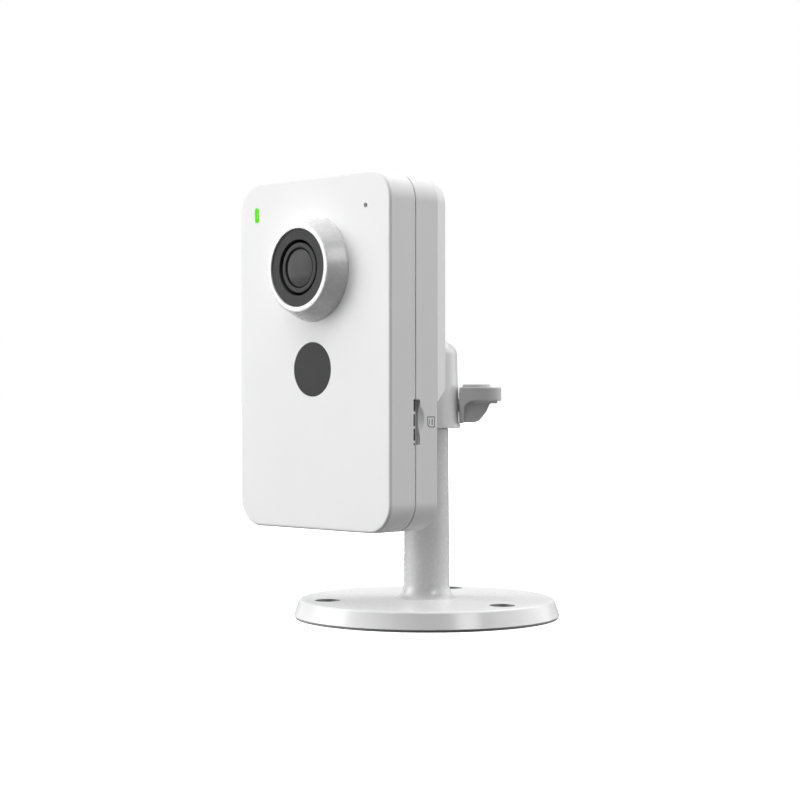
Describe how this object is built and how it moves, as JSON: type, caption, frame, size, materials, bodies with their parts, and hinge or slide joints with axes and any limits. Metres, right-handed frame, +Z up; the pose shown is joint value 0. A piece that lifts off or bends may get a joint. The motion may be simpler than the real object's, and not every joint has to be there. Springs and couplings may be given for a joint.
{
  "type": "security camera",
  "caption": "Indoor cube security camera: rounded white head with a lens, infrared window and card slot, on a tilt hinge and swivel collar over a round pole stand.",
  "frame": {"origin": "centre of the stand's underside, on the pole's axis", "axes": "+Z up along the pole, -Y out of the lens, +X to the right as seen from in front"},
  "size_m": [0.0811, 0.0937, 0.1307],
  "materials": {
    "white_housing": "fine satin moulded white",
    "white_stand": "satin moulded white",
    "lever_plastic": "satin light grey-white",
    "lens_trim": "fine matte charcoal",
    "lens_black": "black anodised look",
    "ring_black": "glossy black",
    "lens_glass": "coated optical glass",
    "filter_glass": "infrared-cut coating",
    "ir_acrylic": "smoked infrared-pass acrylic",
    "light_green": "green lit light pipe",
    "rubber_black": "soft black rubber",
    "board_green": "solder mask",
    "chip_black": "moulded epoxy",
    "connector_ivory": "moulded nylon",
    "thermal_blue": "soft silicone pad",
    "sheet_metal": "plain sheet",
    "copper_film": "polyimide film",
    "black_plastic": "moulded black",
    "button_grey": "moulded grey",
    "screw_steel": "zinc plated",
    "nylon_washer": "moulded nylon",
    "brass": "turned brass",
    "weight_steel": "plain steel disc"
  },
  "bodies": {
    "stand": {"pole": "white_stand", "pole_screw": "screw_steel", "base_plate": "white_stand", "base_weight": "weight_steel", "base_pad": "rubber_black"},
    "collar": {"swivel_collar": "white_stand", "threaded_insert": "brass", "brake_pad": "connector_ivory", "hinge_bolt": "screw_steel", "hinge_nut": "screw_steel", "friction_washers": "nylon_washer"},
    "lever": {"clamp_lever": "lever_plastic", "clamp_screw": "screw_steel"},
    "head": {"front_housing": "white_housing", "rear_housing": "white_housing", "lens_bezel": "white_housing", "lens_trim_ring": "lens_trim", "lens_barrel": "lens_black", "lens_retainer": "ring_black", "front_lens": "lens_glass", "middle_lens": "lens_glass", "rear_lens": "lens_glass", "lens_holder": "lens_black", "filter_coil": "black_plastic", "image_sensor": "chip_black", "sensor_board": "board_green", "front_board": "board_green", "main_board": "board_green", "processor": "chip_black", "memory_chips": "chip_black", "thermal_pad": "thermal_blue", "heat_spreader": "sheet_metal", "wifi_module": "sheet_metal", "antenna": "copper_film", "ribbon_cable": "copper_film", "board_connectors": "connector_ivory", "card_socket": "sheet_metal", "card_slot_liner": "black_plastic", "power_inlet": "black_plastic", "reset_switch": "sheet_metal", "speaker": "black_plastic", "microphone": "sheet_metal", "mic_boot": "rubber_black", "status_led": "light_green", "light_pipe": "light_green", "ir_window": "ir_acrylic", "ir_leds": "connector_ivory", "light_sensor": "connector_ivory", "board_screws": "screw_steel", "front_board_screws": "screw_steel", "housing_screws": "screw_steel", "tilt_bracket": "white_stand", "bracket_screws": "screw_steel"},
    "filter": {"filter_slider": "black_plastic", "day_filter": "filter_glass", "night_glass": "lens_glass"},
    "button": {"reset_button": "button_grey"}
  },
  "joints": [
    {"name": "collar_pan", "type": "hinge", "parent": "stand", "child": "collar", "pos_m": [0, 0, 0.07], "axis": [0, 0, 1], "continuous": true},
    {"name": "head_tilt", "type": "hinge", "parent": "collar", "child": "head", "pos_m": [0, -0.0164, 0.076], "axis": [-1, 0, 0], "range_deg": [-24, 60]},
    {"name": "lever_turn", "type": "hinge", "parent": "collar", "child": "lever", "pos_m": [0.008, 0.008, 0.0646], "axis": [0.7071, 0.7071, 0], "range_deg": [0, 100]},
    {"name": "filter_slide", "type": "slide", "parent": "head", "child": "filter", "axis": [-1, 0, 0], "range_m": [0, 0.0068]},
    {"name": "reset_press", "type": "slide", "parent": "head", "child": "button", "axis": [0, -1, 0], "range_m": [0, 0.0004], "stiffness_N_per_m": 1500, "springref_m": -0.0001}
  ]
}
